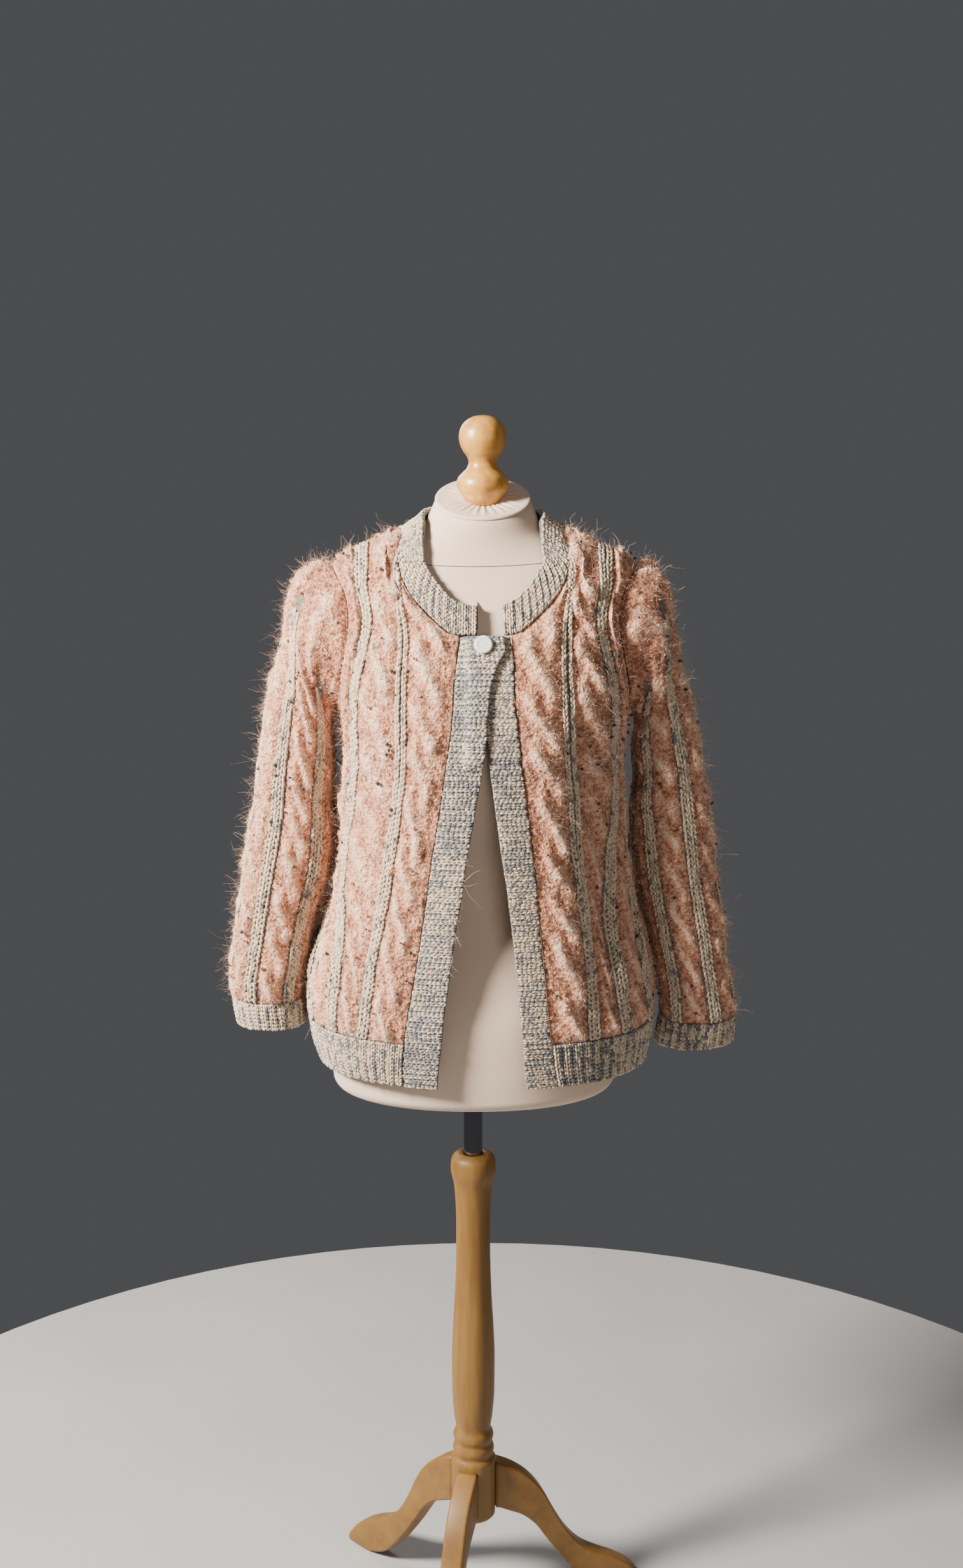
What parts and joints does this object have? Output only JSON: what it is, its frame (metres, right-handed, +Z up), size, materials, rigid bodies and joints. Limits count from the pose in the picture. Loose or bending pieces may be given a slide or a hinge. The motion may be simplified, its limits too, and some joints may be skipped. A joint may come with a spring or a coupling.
{
  "type": "cable knit cardigan on a dress form",
  "caption": "Long-sleeved cable knit cardigan with marl bands and a pearl button, worn open on a limbless jersey dress form with a turned wooden tripod stand.",
  "frame": {"origin": "on the floor, at the middle of the whole object's box seen from above", "axes": "+Z up, -Y towards the cardigan's front, +X towards the wearer's left"},
  "size_m": [0.6359, 0.4134, 1.5893],
  "materials": {
    "pink_knit": "brushed mohair knit, matte",
    "marl_knit": "cream and grey marl knit, matte",
    "pearl": "pearly, glossy",
    "jersey": "smooth cream jersey, matte",
    "turned_wood": "satin varnish",
    "chrome_tube": "polished"
  },
  "bodies": {
    "stand": {"column": "turned_wood", "leg_left_back": "turned_wood", "leg_front": "turned_wood", "leg_right": "turned_wood"},
    "dress_form": {"pole": "chrome_tube", "form_body": "jersey", "neck_cap": "jersey", "finial": "turned_wood", "front_right": "pink_knit", "front_left": "pink_knit", "back": "pink_knit", "sleeve_right": "pink_knit", "sleeve_left": "pink_knit", "cuff_right": "marl_knit", "cuff_left": "marl_knit", "hem_right": "marl_knit", "hem_left": "marl_knit", "hem_back": "marl_knit", "neckband": "marl_knit", "buttonhole_band": "marl_knit", "button_band": "marl_knit", "button": "pearl"}
  },
  "joints": [
    {"name": "pole_height", "type": "slide", "parent": "stand", "child": "dress_form", "axis": [0, 0, 1], "range_m": [-0.08, 0.2]}
  ]
}
